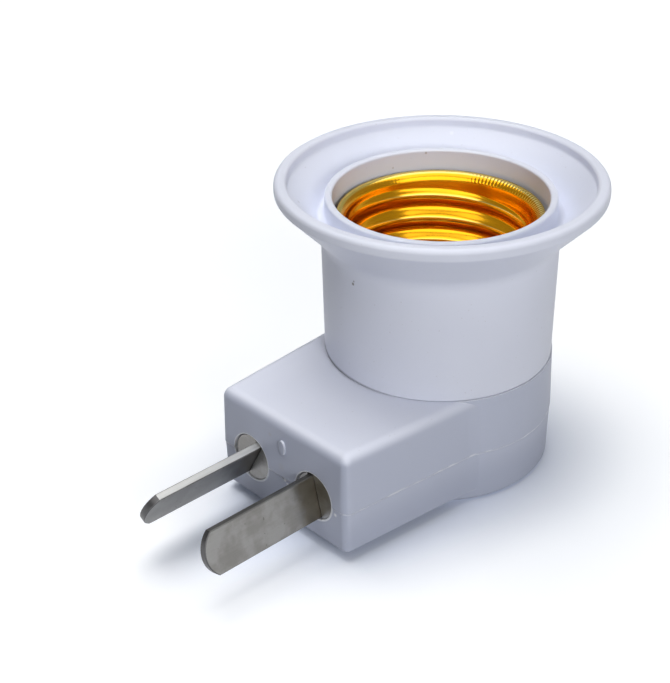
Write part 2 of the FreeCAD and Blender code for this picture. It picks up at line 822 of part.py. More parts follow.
def housing_screw(y, seat, length):
    body = screw(housing_screw_radius, housing_screw_head_radius, housing_screw_head, length)
    return body.translated(vec(0, y, seat))


def save(name, shape):
    if not shape.isValid() or len(shape.Solids) != 1:
        print("look at", name, "valid", shape.isValid(), "solids", len(shape.Solids))
    shape.Solids[0].exportStep(os.path.join("parts", name + ".step"))
    print(name, round(shape.Volume, 1), "mm3")


def main():
    os.makedirs("parts", exist_ok=True)
    left_rivet, right_rivet = rivet_places()
    centre = (0, leaf_anchor)
    save("sleeve", sleeve())
    save("upper_housing", upper_housing())
    save("lower_housing", lower_housing())
    save("screw_shell", screw_shell())
    save("contact_carrier", contact_carrier())
    save("centre_contact", centre_contact())
    save("centre_rivet", rivet(*centre, leaf_top, strap_bottom))
    save("shell_rivet_left", rivet(*left_rivet, flange_top, strap_top))
    save("shell_rivet_right", rivet(*right_rivet, flange_top, strap_bottom))
    save("live_strap", strap(live_runs(), -post_x, centre))
    save("neutral_strap", strap(neutral_runs(), post_x, right_rivet))
    for side in BLADES:
        save(side + "_post", post(side))
        save(side + "_blade", blade(side))
        save(side + "_washer", washer(side))
    save("carrier_screw_right", carrier_screw(1))
    save("carrier_screw_left", carrier_screw(-1))
    save("housing_screw_front", housing_screw(front_screw_place, front_screw_seat, front_screw_length))
    save("housing_screw_rear", housing_screw(rear_screw_place, rear_screw_seat, rear_screw_length))


main()
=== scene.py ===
# %% [markdown]
# # A plug in lamp holder, dressed for its picture
#
# The object is a white plastic lamp holder. A lamp screws in from above, and two flat blades in front
# push straight into an outlet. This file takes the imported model, gives every piece its finish, makes a
# few pieces again with softer edges, and sets up a small studio round it.
#
# The model comes in as a fixed frame: every piece already stands where it belongs, in metres, with Z
# up along the lamp's axis, the round foot on Z = 0 and the blades pointing along -Y.

import math

import bpy
from mathutils import Matrix, Vector


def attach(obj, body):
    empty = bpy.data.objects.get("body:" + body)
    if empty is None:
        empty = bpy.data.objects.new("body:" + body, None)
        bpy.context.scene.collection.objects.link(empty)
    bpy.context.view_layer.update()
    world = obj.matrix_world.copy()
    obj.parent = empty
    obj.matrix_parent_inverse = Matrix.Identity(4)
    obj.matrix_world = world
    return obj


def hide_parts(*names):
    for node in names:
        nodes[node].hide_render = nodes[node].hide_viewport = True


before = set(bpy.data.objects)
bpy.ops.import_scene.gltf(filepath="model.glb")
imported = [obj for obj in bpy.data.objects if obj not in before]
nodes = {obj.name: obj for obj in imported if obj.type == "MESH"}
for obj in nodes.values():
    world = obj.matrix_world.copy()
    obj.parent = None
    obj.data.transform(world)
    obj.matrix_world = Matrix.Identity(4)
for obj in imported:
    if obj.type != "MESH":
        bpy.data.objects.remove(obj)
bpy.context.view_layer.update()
mm = 0.001

# %% [markdown]
# ## Sums with sockets
#
# Materials and geometry trees are both built from nodes, and most of those nodes only do sums. Placing
# each one by hand hides the sum that is meant. So one small class wraps an output socket and takes over
# Python's own signs: `height * 2 + 1` adds the Math nodes. Any other node comes from one method, which
# takes its type, its settings and what goes into its sockets.

# %% A node tree that is written like a sum
class Sum:
    """An output socket that Python's signs work on."""

    def __init__(self, recipe, socket):
        self.recipe = recipe
        self.socket = socket

    def other(self, name):
        """Another output of the same node."""
        return Sum(self.recipe, self.socket.node.outputs[name])

    def __add__(self, value):
        return self.recipe.sum("ADD", self, value)

    def __sub__(self, value):
        return self.recipe.sum("SUBTRACT", self, value)

    def __rsub__(self, value):
        return self.recipe.sum("SUBTRACT", value, self)

    def __mul__(self, value):
        return self.recipe.sum("MULTIPLY", self, value)

    def __truediv__(self, value):
        return self.recipe.sum("DIVIDE", self, value)

    __radd__ = __add__
    __rmul__ = __mul__


class Recipe:
    """A node tree, added to one step at a time."""

    def __init__(self, tree):
        self.tree = tree
        tree.nodes.clear()

    def node(self, kind, settings=None, inputs=None, out=0):
        """Adds a node. Its settings come first, then a value or a link for each socket."""
        step = self.tree.nodes.new(kind)
        for name, value in (settings or {}).items():
            setattr(step, name, value)
        for name, value in (inputs or {}).items():
            if isinstance(value, Sum):
                self.tree.links.new(value.socket, step.inputs[name])
            elif value is not None:
                step.inputs[name].default_value = value
        return Sum(self, step.outputs[out]) if step.outputs else step

    def sum(self, operation, *values):
        return self.node("ShaderNodeMath", {"operation": operation}, dict(enumerate(values)))

    def vector(self, operation, *values, out=0):
        return self.node("ShaderNodeVectorMath", {"operation": operation}, dict(enumerate(values)), out)

    def step(self, low, high, value):
        """0 under low, 1 over high, and a smooth rise between."""
        settings = {"interpolation_type": "SMOOTHSTEP"}
        return self.node("ShaderNodeMapRange", settings, {"Value": value, "From Min": low, "From Max": high})


print("sums ready")

# %% [markdown]
# ## Rounding a turned profile
#
# The sleeve is one plastic moulding, turned round the lamp's axis: a tube, a dished brim with a raised
# lip, a shallow tray and a collar round the mouth. A mould leaves every outer edge slightly round, and
# it is that round edge which catches the light. A Bevel modifier could do it, but the profile is known,
# so its corners are rounded first and then turned. The exact direction of the surface is known as well,
# and is handed to the mesh, so that flat walls stay flat in the light.

# %% A profile with round corners, turned into a mesh
def rounded(corners, steps=6):
    """Points (radius, height) and outward directions along a closed profile of (radius, height, rounding)."""
    line = []
    count = len(corners)
    for index, (r, z, size) in enumerate(corners):
        here = Vector((r, z))
        before = (here - Vector(corners[index - 1][:2])).normalized()
        after = (Vector(corners[(index + 1) % count][:2]) - here).normalized()
        sides = [Vector((way.y, -way.x)) for way in (before, after)]
        turn = before.angle(after)
        if size == 0 or turn < 0.01:
            line += [(here, sides[0]), (here, sides[1])]
            continue
        run = size * math.tan(turn / 2)
        bulge = math.copysign(1, before.cross(after))
        centre = here - before * run - sides[0] * size * bulge
        for step in range(steps + 1):
            angle = bulge * turn * step / steps
            side = Matrix.Rotation(angle, 2) @ sides[0]
            line.append((centre + side * size * bulge, side))
    return line


def turned(name, corners, segments=128, exact=True):
    """A closed profile in millimetres, turned round the lamp's axis, with exact directions."""
    line = rounded(corners)
    points, sides, faces = [], [], []
    for segment in range(segments):
        angle = 2 * math.pi * segment / segments
        c, s = math.cos(angle), math.sin(angle)
        for point, side in line:
            points.append((point.x * c * mm, point.x * s * mm, point.y * mm))
            sides.append((side.x * c, side.x * s, side.y))
    count = len(line)
    for segment in range(segments):
        ahead = (segment + 1) % segments
        for index in range(count):
            following = (index + 1) % count
            if (line[index][0] - line[following][0]).length < 1e-6:
                continue
            faces.append((segment * count + index, ahead * count + index,
                          ahead * count + following, segment * count + following))
    mesh = bpy.data.meshes.new(name)
    mesh.from_pydata(points, [], faces)
    mesh.polygons.foreach_set("use_smooth", [True] * len(faces))
    if exact:
        mesh.normals_split_custom_set_from_vertices(sides)
    piece = bpy.data.objects.new(name, mesh)
    bpy.context.scene.collection.objects.link(piece)
    print(name, len(faces), "faces")
    return piece


# %% The sleeve, from its foot up to the lip and down into the mouth
seat = 16.8
bore = 14.9
bead_height = seat + 1.9
sleeve_corners = [
    (bore, seat, 0.05),
    (16.28, seat, 0.22),
    (16.55, seat + 18.0, 3.2),
    (22.85, seat + 24.5, 0.5),
    (22.85, seat + 26.1, 0.75),
    (21.1, seat + 26.1, 0.5),
    (21.05, seat + 24.8, 0.6),
    (15.95, seat + 19.65, 0.7),
    (15.95, seat + 23.6, 0.3),
    (bore, seat + 23.6, 0.35),
    (bore, bead_height + 0.95, 0.05),
    (bore + 0.3, bead_height, 0.05),
    (bore, bead_height - 0.95, 0.05),
]
sleeve = turned("sleeve_moulding", sleeve_corners, segments=160)
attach(sleeve, "housing")
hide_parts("sleeve")

# %% [markdown]
# ## The rolled thread
#
# The brass shell is thin sheet that was pressed between two rollers, so its thread is a wave in the
# sheet: a ridge on the inside is a groove on the outside. A wave follows a rule, and Geometry Nodes can
# state it. A flat grid is rolled into a tube, and each of its points is pushed in by how near it lies to
# the thread's ridge. The ridge climbs 3.63 mm for every turn to the right. Where no ridge follows above,
# the sheet runs straight up as a neck, and its rim curls out to meet the plastic. The fine teeth that the
# rolling leaves on the rim are left to the finish.
#
# The tree makes the inner surface only. A Solidify modifier then gives the sheet its thickness.

# %% Geometry trees with named sizes
def geometry_recipe(name, sizes):
    """A geometry tree with one named input for each size, and those inputs as sums."""
    tree = bpy.data.node_groups.new(name, "GeometryNodeTree")
    for label, value in sizes.items():
        tree.interface.new_socket(name=label, in_out="INPUT", socket_type="NodeSocketFloat")
    tree.interface.new_socket(name="Geometry", in_out="OUTPUT", socket_type="NodeSocketGeometry")
    recipe = Recipe(tree)
    group = recipe.node("NodeGroupInput")
    return recipe, {label: group.other(label) for label in sizes}


def finish_tree(recipe, geometry, material):
    """Ends a tree: real geometry with its material."""
    real = recipe.node("GeometryNodeRealizeInstances", inputs={"Geometry": geometry})
    made = recipe.node("GeometryNodeSetMaterial", inputs={"Geometry": real, "Material": material})
    recipe.node("NodeGroupOutput", inputs={"Geometry": made})


def grown(name, tree, sizes, modifiers=()):
    """Runs a tree, and any modifiers after it, and keeps the result as a plain mesh."""
    holder = bpy.data.objects.new(name + "_holder", bpy.data.meshes.new(name + "_holder"))
    bpy.context.scene.collection.objects.link(holder)
    nodes_modifier = holder.modifiers.new("tree", "NODES")
    nodes_modifier.node_group = tree
    for item in tree.interface.items_tree:
        if item.in_out == "INPUT":
            nodes_modifier[item.identifier] = sizes[item.name]
    for kind, settings in modifiers:
        modifier = holder.modifiers.new(kind.lower(), kind)
        for label, value in settings.items():
            setattr(modifier, label, value)
    view = bpy.context.evaluated_depsgraph_get()
    mesh = bpy.data.meshes.new_from_object(holder.evaluated_get(view), depsgraph=view)
    mesh.name = name
    bpy.data.objects.remove(holder)
    piece = bpy.data.objects.new(name, mesh)
    bpy.context.scene.collection.objects.link(piece)
    print(name, len(mesh.polygons), "faces")
    return piece


print("trees ready")

# %% The sizes of the thread
shell_sizes = {
    "Floor": 14.0 * mm, "Top": 37.5 * mm, "Sheet": 0.3 * mm,
    "Flange radius": 8.4 * mm, "Skirt radius": 12.05 * mm,
    "Minor radius": 12.2 * mm, "Major radius": 13.28 * mm, "Curl": 1.12 * mm,
    "Thread start": 21.0 * mm, "Thread end": 36.4 * mm, "Pitch": 3.629 * mm,
    "Ridge height": 34.2 * mm, "Ridge bearing": math.radians(137.5),
    "Run out": 0.6, "Neck": 34.8 * mm, "Neck radius": 12.66 * mm, "Neck slope": 0.22,
}
threaded = shell_sizes["Thread end"] - shell_sizes["Thread start"]
print(round(threaded / shell_sizes["Pitch"], 1), "turns of thread")

# %% A tree that rolls a grid into the shell
def shell_tree(sizes, material, around=200, up=150):
    """The shell's inner surface, from its flange up over the thread and the neck to the curled rim."""
    recipe, given = geometry_recipe("rolled_shell", sizes)
    grid = recipe.node("GeometryNodeMeshGrid", inputs={
        "Size X": 1.0, "Size Y": 1.0, "Vertices X": around + 1, "Vertices Y": up + 1})
    place = recipe.node("GeometryNodeInputPosition")
    parts = recipe.node("ShaderNodeSeparateXYZ", inputs={0: place}, out="X")
    share_round = parts + 0.5
    share_up = parts.other("Y") + 0.5
    angle = share_round * (2 * math.pi)

    flange_share, curl_share = 0.06, 0.93
    inward, climb, curled = (recipe.node("ShaderNodeMapRange", inputs={
        "Value": share_up, "From Min": low, "From Max": high})
        for low, high in ((0.0, flange_share), (flange_share, curl_share), (curl_share, 1.0)))
    floor = given["Floor"] + given["Sheet"]
    curl_angle = curled * (math.pi / 2)
    height = floor + (given["Top"] - given["Curl"] - floor) * climb
    height = height + given["Curl"] * recipe.sum("SINE", curl_angle)

    skirt_rise = given["Major radius"] - given["Skirt radius"]
    shoulder = recipe.step(given["Thread start"], given["Thread start"] + skirt_rise * 1.2, height)
    body = given["Skirt radius"] + skirt_rise * shoulder

    share_of_turn = (angle - given["Ridge bearing"]) / (2 * math.pi)
    along = (height - given["Ridge height"]) / given["Pitch"] - share_of_turn
    nearest = recipe.sum("ROUND", along)
    turns = nearest + share_of_turn
    last = (given["Thread end"] - given["Ridge height"]) / given["Pitch"]
    strength = 1 - recipe.step(last - given["Run out"], last, turns)
    over = recipe.sum("FLOOR", along) + share_of_turn + 1
    no_ridge_over = recipe.step(last - given["Run out"], last, over)
    wave = recipe.sum("COSINE", (along - nearest) * (2 * math.pi)) * 0.5 + 0.5
    ridge = wave * strength * shoulder
    radius = body - (given["Major radius"] - given["Minor radius"]) * ridge
    above_neck = recipe.sum("MAXIMUM", height - given["Neck"], 0.0)
    neck = recipe.sum("SMOOTH_MIN", radius, given["Neck radius"] + above_neck * given["Neck slope"], 0.2 * mm)
    radius = radius + (neck - radius) * no_ridge_over
    radius = radius + given["Curl"] * (1 - recipe.sum("COSINE", curl_angle))
    radius = given["Flange radius"] + (radius - given["Flange radius"]) * inward
    rolled = recipe.node("ShaderNodeCombineXYZ", inputs={
        "X": radius * recipe.sum("COSINE", angle), "Y": radius * recipe.sum("SINE", angle), "Z": height})
    # The curl is stored as ridge too, so the rim gets the crests' painted highlight
    kept = recipe.node("GeometryNodeStoreNamedAttribute", inputs={
        "Geometry": grid, "Name": "ridge", "Value": recipe.sum("MAXIMUM", ridge, curled * 1.5)})
    tube = recipe.node("GeometryNodeSetPosition", inputs={"Geometry": kept, "Position": rolled})
    tube = recipe.node("GeometryNodeMergeByDistance", inputs={"Geometry": tube, "Distance": 0.001 * mm})
    smooth = recipe.node("GeometryNodeSetShadeSmooth", inputs={"Geometry": tube})
    turned_in = recipe.node("GeometryNodeFlipFaces", inputs={"Mesh": smooth})
    finish_tree(recipe, turned_in, material)
    return recipe.tree


blank = bpy.data.materials.new("blank_sheet")
shell = grown("rolled_shell", shell_tree(shell_sizes, blank), shell_sizes,
              [("SOLIDIFY", {"thickness": 0.3 * mm, "offset": -1.0, "use_even_offset": True})])
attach(shell, "housing")
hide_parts("screw_shell")
low = Vector(min(v.co[i] for v in shell.data.vertices) for i in range(3))
high = Vector(max(v.co[i] for v in shell.data.vertices) for i in range(3))
print("shell from", [round(v * 1000, 2) for v in low], "to", [round(v * 1000, 2) for v in high])

# %% [markdown]
# ## Finishes
#
# Every finish here is a small recipe on the object's own coordinates, so it stays on the piece when the
# piece moves. The same few steps come back in all of them, so they become methods: cloudy noise that may
# be stretched into streaks, a mix of two colours, a round mark at a place, and a soft edge. The soft edge
# comes from the Bevel node, which bends the light round an edge as a moulding's small radius would.

# %% Steps that the finishes share
class Finish(Recipe):
    """A material recipe on object coordinates, in metres."""

    def __init__(self, name):
        self.material = bpy.data.materials.new(name)
        self.material.use_nodes = True
        super().__init__(self.material.node_tree)
        self.place = self.node("ShaderNodeTexCoord", out="Object")

    def noise(self, size, detail=2.0, stretch=(1, 1, 1)):
        """Clouds about as large as size in metres, longer where stretch is under 1."""
        place = self.vector("MULTIPLY", self.place, stretch)
        return self.node("ShaderNodeTexNoise", inputs={"Vector": place, "Scale": 1 / size, "Detail": detail})

    def colours(self, share, low, high):
        low, high = ((*c, 1) if isinstance(c, tuple) else c for c in (low, high))
        return self.node("ShaderNodeMix", {"data_type": "RGBA"}, {0: share, 6: low, 7: high}, out=2)

    def parts(self, vector=None):
        """X, Y and Z of a vector, or of the place on the piece."""
        x = self.node("ShaderNodeSeparateXYZ", inputs={0: vector or self.place}, out="X")
        return x, x.other("Y"), x.other("Z")

    def facing(self):
        """The direction that the surface faces, as X, Y and Z of the piece's own axes."""
        return self.parts(self.place.other("Normal"))

    def mark(self, centre, size, blur=0.5):
        """1 inside a round mark, fading to 0 outside it. Centre and size are in millimetres."""
        away = self.vector("DISTANCE", self.place, tuple(v * mm for v in centre), out="Value")
        return 1 - self.step(size * (1 - blur) * mm, size * (1 + blur) * mm, away)

    def soft_edge(self, radius):
        return self.node("ShaderNodeBevel", {"samples": 6}, {"Radius": radius * mm})

    def edge_share(self, rounded_normal):
        """0 on a flat face, rising to 1 on its edges."""
        flat = self.node("ShaderNodeNewGeometry", out="Normal")
        return self.step(0.004, 0.12, 1 - self.vector("DOT_PRODUCT", rounded_normal, flat, out="Value"))

    def finish(self, colour, roughness, height=None, bump=0.2, depth=0.02, normal=None, **fixed):
        """Ends the recipe. Fixed values that are the same all over go straight on the shader."""
        if height is not None:
            inputs = {"Height": height, "Strength": bump, "Distance": depth * mm, "Normal": normal}
            normal = self.node("ShaderNodeBump", inputs=inputs)
        inputs = {"Base Color": colour, "Roughness": roughness, "Normal": normal}
        inputs.update({label.replace("_", " "): value for label, value in fixed.items()})
        shader = self.node("ShaderNodeBsdfPrincipled", inputs=inputs)
        self.node("ShaderNodeOutputMaterial", inputs={"Surface": shader})
        print(self.material.name, len(self.tree.nodes), "nodes")
        return self.material


def dress(material, *names):
    """Gives carried-over CAD pieces their finish."""
    for name in names:
        piece = nodes[name]
        piece.data.materials.clear()
        piece.data.materials.append(material)


# %% [markdown]
# ### White plastic
#
# The mouldings are a cool white with a satin skin. Up close that skin has a fine orange peel, faint
# clouds where the plastic flowed, a few grey flecks, and hairline scuffs from handling. Their edges carry
# a painted highlight, a lighter colour, and so does a ring round each of the housing's two blade holes. The
# housing also has painted shade: it is greyer low down, on its upright faces and most on its front. The
# gap under the sleeve has painted shade, deeper on its left. Rough white specks of flash follow the line
# where the two halves of the housing meet, and each speck of dirt in the photograph is a round mark at its
# own place. The scuffs run across the faces, so their noise is stretched.

# %% The tones and places of the marks
# Painted highlight white for edges and hole rings, also the colour of the flash
highlight_and_flash_white = (0.92, 0.94, 0.99)
# Painted shade: the grey of the housing's low and upright faces
painted_shade_grey = (0.465, 0.500, 0.615)
# Painted shade in the gap under the sleeve
painted_gap_shade = (0.13, 0.13, 0.16)
dirt = (0.16, 0.14, 0.13)
brown = (0.30, 0.26, 0.24)
flash = (0.95, 0.96, 0.99)
grey = (0.45, 0.45, 0.47)
parting = 8.05
blade_side = 6.35
front_face = -30.4
sleeve_marks = [
    ((-12.75, 15.81, 40.84), 0.28, 0.35, (0.93, 0.95, 0.99)),
    ((-12.07, -15.32, 40.01), 0.22, 0.5, grey),
    ((-0.21, -16.51, 32.31), 0.20, 0.9, dirt),
    ((-0.05, -16.5, 32.75), 0.13, 0.7, dirt),
    ((-11.69, 9.24, 39.94), 0.16, 0.6, brown),
    ((-14.09, 4.86, 38.19), 0.12, 0.5, brown),
]
housing_marks = [
    ((0.62, front_face, 7.75), 0.26, 0.9, flash),
    ((0.25, front_face, 8.0), 0.15, 0.8, dirt),
    ((1.05, front_face, 7.35), 0.17, 0.8, flash),
    ((1.54, front_face, 7.6), 0.12, 0.7, dirt),
    ((10.55, -30.5, 7.2), 0.28, 0.8, flash),
    ((0.0, front_face, 9.65), 0.55, 0.25, grey),
    ((-2.24, -30.3, 13.8), 0.25, 0.4, grey),
]
# Painted highlights: a pale ring round each blade hole
hole_rim_highlights = [((x, front_face, parting), 3.5) for x in (-blade_side, blade_side)]
print(len(sleeve_marks) + len(housing_marks), "marks and", len(hole_rim_highlights), "rims")

# %% White plastic, with the marks each moulding carries
def white_plastic(name, marks=(), edge=0.15, seam_shade_and_flash=None, seam_tone=painted_gap_shade, shade_heights=None, rims=()):
    """A seam function, if given, gives the share of a seam mark, painted shade under the sleeve or flash on
    the housing; the pair of heights, if given, bounds where the housing's painted grey shade ends.
    """
    make = Finish(name)
    clouds = make.noise(14 * mm, 2)
    colour = make.colours(clouds, (0.738, 0.768, 0.880), (0.796, 0.820, 0.918))
    # Painted shade: the housing is greyer low down, on its upright faces and most on its front
    if shade_heights is not None:
        x, y, z = make.parts()
        to_right, to_back, up = make.facing()
        upright = 1 - make.step(0.1, 0.95, make.sum("ABSOLUTE", up))
        front = make.step(0.5, 0.9, 0 - to_back)
        low_down = 1 - make.step(shade_heights[0] * mm, shade_heights[1] * mm, z)
        flank = make.step(0.3, 0.9, to_right)
        painted_shade = make.sum("MAXIMUM", low_down * 0.8, upright * 0.62) + front * 0.38 + flank * upright * 0.18
        colour = make.colours(make.sum("MINIMUM", painted_shade, 1.0), colour, painted_shade_grey)
    flecks = make.step(0.76, 0.78, make.noise(0.42 * mm, 1))
    colour = make.colours(flecks * 0.25, colour, (0.42, 0.40, 0.40))
    # A seam mark: painted shade under the sleeve, flash along the housing's parting line
    if seam_shade_and_flash is not None:
        colour = make.colours(seam_shade_and_flash(make), colour, seam_tone)
    # Painted highlight: a pale ring round each blade hole
    for centre, size in rims:
        rim = make.mark(centre, size + 0.22, 0.02) - make.mark(centre, size - 0.22, 0.02)
        colour = make.colours(rim * 0.7, colour, highlight_and_flash_white)
    for centre, size, share, tone in marks:
        colour = make.colours(make.mark(centre, size) * share, colour, tone)
    normal = make.soft_edge(edge)
    # Painted highlight: every edge is made lighter
    colour = make.colours(make.edge_share(normal) * 0.5, colour, highlight_and_flash_white)
    scuffs = make.step(0.66, 0.80, make.noise(1.1 * mm, 3, (1, 1, 9)))
    peel = make.noise(0.55 * mm, 2)
    roughness = 0.40 + clouds * 0.10 + scuffs * 0.14
    height = peel * 0.55 + scuffs * 0.2 + clouds * 0.2
    return make.finish(colour, roughness, height, 0.16, 0.012, normal, IOR=1.49, Subsurface_Weight=0.06,
                       Subsurface_Radius=(1.0, 1.0, 1.0), Subsurface_Scale=0.7 * mm)


def painted_seam_shade(make):
    """Painted shade in the gap under the sleeve, deeper on its left."""
    x, y, z = make.parts()
    left = 1 - make.step(-6 * mm, 9 * mm, x)
    low = 1 - make.step(seat * mm, (seat + 0.26) * mm + left * (0.55 * mm), z)
    return low * (0.45 + left * 0.5)


def seam_flash(make):
    """Rough white specks of flash along the line where the two halves of the housing meet."""
    x, y, z = make.parts()
    away = make.sum("ABSOLUTE", z - parting * mm)
    line = 1 - make.step(0.05 * mm, 0.26 * mm, away)
    return line * make.step(0.50, 0.62, make.noise(1.3 * mm, 4, (1, 0.5, 2))) * 0.75


# The sleeve's seam mark is painted shade in the gap at its foot
sleeve.data.materials.append(white_plastic("sleeve_plastic", sleeve_marks, 0.1, painted_seam_shade))
# The housing's seam mark is flash; it also gets painted grey shade and painted highlights round the blade
# holes
housing_plastic = white_plastic("housing_plastic", housing_marks, 0.22, seam_flash, highlight_and_flash_white,
                                shade_heights=(3.0, 15.8), rims=hole_rim_highlights)
dress(housing_plastic, "upper_housing", "lower_housing")

# %% [markdown]
# ### Brass
#
# The rolled sheet has painted light: it is pale and bright on its crests and on its curled rim, a painted
# highlight, and a deep orange in the grooves, painted shade. The tree above could tell the two apart while
# it bent the sheet, so it stored how near each point is to the ridge, with the curl stored as ridge too, and
# the finish reads that attribute. The rim carries fine rolled teeth, which stay sharp only on the part of
# it that the tool pressed last. The straps and the leaf are plain brass strip with rolling streaks.

# %% Teeth on the shell's rim
tooth_count = 150
rim_across = 28.4


def rim_teeth(make):
    """Fine upright teeth round the rim, worn away on part of it, as a height for the bump."""
    x, y, z = make.parts()
    wave = make.sum("COSINE", make.sum("ARCTAN2", y, x) * tooth_count) * 0.5 + 0.5
    kept = make.step(3.5 * mm, 7 * mm, x * 0.67 + y * 0.74) * 0.9 + 0.1
    return wave * make.step(36.4 * mm, 36.6 * mm, z) * kept


print(tooth_count, "teeth,", round(math.pi * rim_across / tooth_count, 2), "mm apart")

# %% Brass, for the shell and for the strips
def brass_finish(name, make=None, ridge=None, streak=(1, 1, 0.06)):
    """Plain strip, or rolled sheet with a painted highlight on its crests and painted shade in its grooves
    where it is told the ridge.
    """
    make = make or Finish(name)
    streaks = make.noise(0.5 * mm, 3, streak)
    stains = make.step(0.50, 0.85, make.noise(4.5 * mm, 2))
    colour = make.colours(streaks, (0.90, 0.570, 0.090), (0.95, 0.660, 0.150))
    height = streaks * 0.2
    if ridge is not None:
        # Painted shade in the grooves, and a painted highlight on the crests and the curl
        groove_shade = make.colours(streaks, (0.84, 0.355, 0.006), (0.97, 0.500, 0.020))
        crest_highlight = make.colours(streaks, (0.92, 0.680, 0.140), (0.98, 0.790, 0.260))
        colour = make.colours(make.step(0.80, 0.99, ridge), groove_shade, crest_highlight)
        height = height + rim_teeth(make)
    colour = make.colours(stains * 0.25, colour, (0.50, 0.22, 0.02))
    roughness = 0.14 + streaks * 0.08 + stains * 0.06
    return make.finish(colour, roughness, height, 0.8, 0.04, make.soft_edge(0.05), Metallic=1.0)


shell_brass = Finish("rolled_brass")
ridge_share = shell_brass.node("ShaderNodeAttribute", {"attribute_name": "ridge"}, out="Fac")
shell.data.materials.clear()
shell.data.materials.append(brass_finish("rolled_brass", shell_brass, ridge_share, (0.04, 0.04, 1)))
strip_brass = brass_finish("strip_brass", streak=(1, 0.06, 1))
dress(strip_brass, "live_strap", "neutral_strap", "centre_contact")

# %% [markdown]
# ### Plated blades and their posts
# The blades are stamped from strip and plated. The plating keeps the strip's rolling streaks, which run
# along the blade, and faint bands across it from the tumbling. Towards the post each blade turns a darker
# brown, a painted reflection of the dark hole, and its tip is painted near black, painted shade. The Bevel
# node finds the stamped edges: where the softened direction leaves the flat one, the plating of the posts,
# washers and screws is worn. On the blades those edges and the narrow faces carry painted light instead: a
# painted highlight on the left blade and painted shade on the right one, so each blade has its own plating,
# and both read the blade's own directions, which turn with it.

# %% Dull plating with worn edges, and painted light on the blades
def plated(name, tone=0.28, along=(1, 0.05, 1), across=(0.02, 1, 0.02), edge=0.12, wear_and_painted_light_tone=0.62, root_reflection=None):
    """For a blade, the last argument sets how strong the painted reflection next to its post is, and turns on
    the painted light of its narrow faces and the painted shade of its tip.
    """
    make = Finish(name)
    streaks = make.noise(0.28 * mm, 3, along)
    bands = make.noise(1.6 * mm, 2, across)
    clouds = make.step(0.36, 0.64, make.noise(2.6 * mm, 4))
    rounded_normal = make.soft_edge(edge)
    worn = make.edge_share(rounded_normal)
    low = (tone * 0.60, tone * 0.57, tone * 0.53)
    high = (tone * 1.30, tone * 1.29, tone * 1.26)
    colour = make.colours(streaks * 0.30 + bands * 0.25 + clouds * 0.45, low, high)
    if root_reflection is not None:
        x, y, z = make.parts()
        # Painted reflection of the dark hole: the face turns brown towards the post
        ragged = y + make.noise(2.2 * mm, 3) * (4 * mm)
        painted_root_reflection = make.step(-32.2 * mm, -30.2 * mm, ragged) * root_reflection
        colour = make.colours(painted_root_reflection, colour, (tone * 0.62, tone * 0.54, tone * 0.38))
        # On the blades the narrow faces get the same painted light as the edges
        to_right, to_back, up = make.facing()
        stamped = make.step(0.5, 0.8, make.sum("ABSOLUTE", up)) * (0.5 + streaks * 0.9)
        worn = make.sum("MAXIMUM", worn, make.sum("MINIMUM", stamped, 1.0))
    pits = make.step(0.70, 0.76, make.noise(0.5 * mm, 2))
    colour = make.colours(pits * 0.5, colour, (0.10, 0.09, 0.08))
    # Worn edges, and on the blades painted light on the edges and narrow faces
    colour = make.colours(worn * 0.75, colour, (wear_and_painted_light_tone, wear_and_painted_light_tone, wear_and_painted_light_tone * 0.98))
    if root_reflection is not None:
        # Painted shade: the faces towards the tip are made near black
        colour = make.colours(make.step(0.2, 0.6, 0 - to_back) * 0.8, colour, (0.06, 0.06, 0.065))
    roughness = 0.25 + streaks * 0.14 + clouds * 0.10 + pits * 0.2 + worn * 0.12
    height = streaks * 0.5 + bands * 0.3 - pits * 0.5
    return make.finish(colour, roughness, height, 0.25, 0.015, rounded_normal, Metallic=1.0)


# Painted light on the blades' narrow faces and edges: a painted highlight on the left blade, painted shade on
# the right one
dress(plated("left_blade_plating", wear_and_painted_light_tone=0.78, root_reflection=0.4), "left_blade")
dress(plated("right_blade_plating", wear_and_painted_light_tone=0.12, root_reflection=0.8), "right_blade")
post_plating = plated("post_plating", 0.27, (0.05, 1, 1), (1, 0.02, 0.02), 0.15)
dress(post_plating, "left_post", "right_post")
dress(plated("spring_steel", 0.40, (1, 1, 1), (1, 1, 1), 0.05), "left_washer", "right_washer")

# %% [markdown]
# ### Pressed socket base
#
# The disc under the thread is pressed from dark resin with a mineral filler. It is dull, and speckled
# with lighter grains.

# %% Dark resin with pale grains
def pressed_resin(name):
    """Dull dark resin, clouded and grained."""
    make = Finish(name)
    clouds = make.noise(3 * mm, 3)
    grains = make.step(0.62, 0.72, make.noise(0.35 * mm, 2))
    colour = make.colours(clouds, (0.035, 0.027, 0.024), (0.060, 0.047, 0.040))
    colour = make.colours(grains * 0.5, colour, (0.16, 0.13, 0.11))
    return make.finish(colour, 0.42 + clouds * 0.2, grains, 0.3, 0.02, make.soft_edge(0.12))


dress(pressed_resin("pressed_resin"), "contact_carrier")

# %% [markdown]
# ## Screws and rivets
#
# Four screws and three rivets hold the holder together. They come in pairs that face each other across
# the lamp's axis or along the block, so one tree serves them all: it takes a pattern, cuts the driver's
# cross into its head where there is one, and sets it at each end of a line. The pattern itself is turned
# like the sleeve, with a domed head and a rounded rim, and is thrown away when the tree has run.

